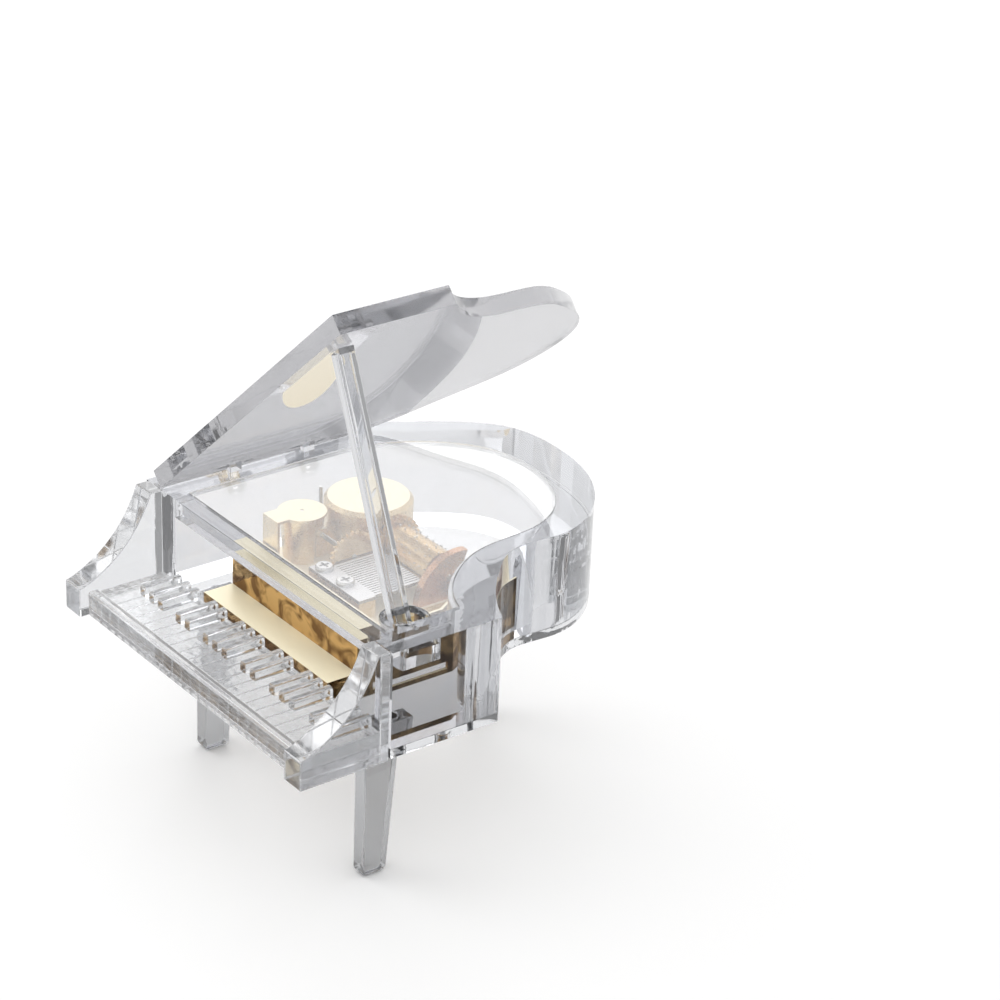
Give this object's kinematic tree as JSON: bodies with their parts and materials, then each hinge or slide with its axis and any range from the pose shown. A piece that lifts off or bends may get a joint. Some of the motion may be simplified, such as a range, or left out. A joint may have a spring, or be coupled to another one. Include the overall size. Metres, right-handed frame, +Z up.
{
  "type": "wind-up music box",
  "caption": "Clear grand piano music box with a propped lid, a keyboard and a gold plated wind-up comb movement in its case.",
  "frame": {"origin": "on the table, in the middle of the whole bounding box", "axes": "+Z up; +X towards the treble side; +Y towards the tail, away from the keyboard"},
  "size_m": [0.11, 0.1307, 0.1493],
  "materials": {
    "clear_acrylic": "polished clear acrylic",
    "cover_acrylic": "clear acrylic with a faint haze",
    "gold_sheet": "mirror gold plated",
    "gold_plate": "satin gold plated",
    "copper_gold": "rose gold plated",
    "brass": "machined",
    "steel": "turned",
    "comb_steel": "ground"
  },
  "bodies": {
    "case": {"case_body": "clear_acrylic", "bottom_plate": "clear_acrylic", "top_cover": "cover_acrylic", "keybed": "clear_acrylic", "white_keys": "clear_acrylic", "black_keys": "clear_acrylic", "key_slip": "clear_acrylic", "cheek_left": "clear_acrylic", "cheek_right": "clear_acrylic", "movement_box": "gold_sheet", "lid_hinge_pins": "steel", "prop_pin": "steel", "leg_front_left": "clear_acrylic", "leg_front_right": "clear_acrylic", "leg_rear": "clear_acrylic", "bedplate": "gold_plate", "spacers": "brass", "movement_screws": "steel", "spring_housing": "gold_plate", "mainspring": "steel", "left_bearing": "gold_plate", "right_bearing": "copper_gold", "third_bearings": "gold_plate", "comb_base": "gold_plate", "comb": "comb_steel", "comb_screws": "steel", "governor_cover": "gold_plate"},
    "lid": {"lid": "clear_acrylic"},
    "prop": {"prop_stick": "clear_acrylic"},
    "winder": {"winding_key": "gold_plate", "spring_arbor": "steel", "great_wheel": "brass"},
    "tune_cylinder": {"cylinder": "brass", "cylinder_pins": "steel", "cylinder_shaft": "steel", "cylinder_gear": "brass", "cylinder_pinion": "brass"},
    "third": {"third_arbor": "steel", "third_wheel": "brass", "worm_wheel": "brass"},
    "governor": {"governor_spindle": "steel", "air_brake": "steel"},
    "stop": {"stop_lever": "steel"}
  },
  "joints": [
    {"name": "lid_hinge", "type": "hinge", "parent": "case", "child": "lid", "pos_m": [-0.0485, -0.01294, 0.0768], "axis": [0, -1, 0], "range_deg": [0, 50]},
    {"name": "prop_fold", "type": "hinge", "parent": "case", "child": "prop", "pos_m": [0.0417, -0.02814, 0.0713], "axis": [-0.9581, 0, -0.2864], "range_deg": [0, 45]},
    {"name": "key_turn", "type": "hinge", "parent": "case", "child": "winder", "pos_m": [-0.0189, 0.00506, 0.05], "axis": [0, 0, 1], "continuous": true},
    {"name": "cylinder_turn", "type": "hinge", "parent": "case", "child": "tune_cylinder", "pos_m": [0.004, 0.00506, 0.0623], "axis": [1, 0, 0], "continuous": true},
    {"name": "third_turn", "type": "hinge", "parent": "case", "child": "third", "pos_m": [-0.014, -0.00844, 0.0623], "axis": [1, 0, 0], "continuous": true},
    {"name": "governor_spin", "type": "hinge", "parent": "case", "child": "governor", "pos_m": [-0.0228, -0.01304, 0.062], "axis": [0, 0, 1], "continuous": true},
    {"name": "stop_swing", "type": "hinge", "parent": "case", "child": "stop", "pos_m": [-0.0289, -0.00304, 0.062], "axis": [0, 0, 1], "range_deg": [-30, 30]}
  ],
  "couplings": [
    {"joint": "cylinder_turn", "follows": "key_turn", "ratio": 3},
    {"joint": "third_turn", "follows": "key_turn", "ratio": -3.2308},
    {"joint": "governor_spin", "follows": "key_turn", "ratio": 38.769}
  ]
}
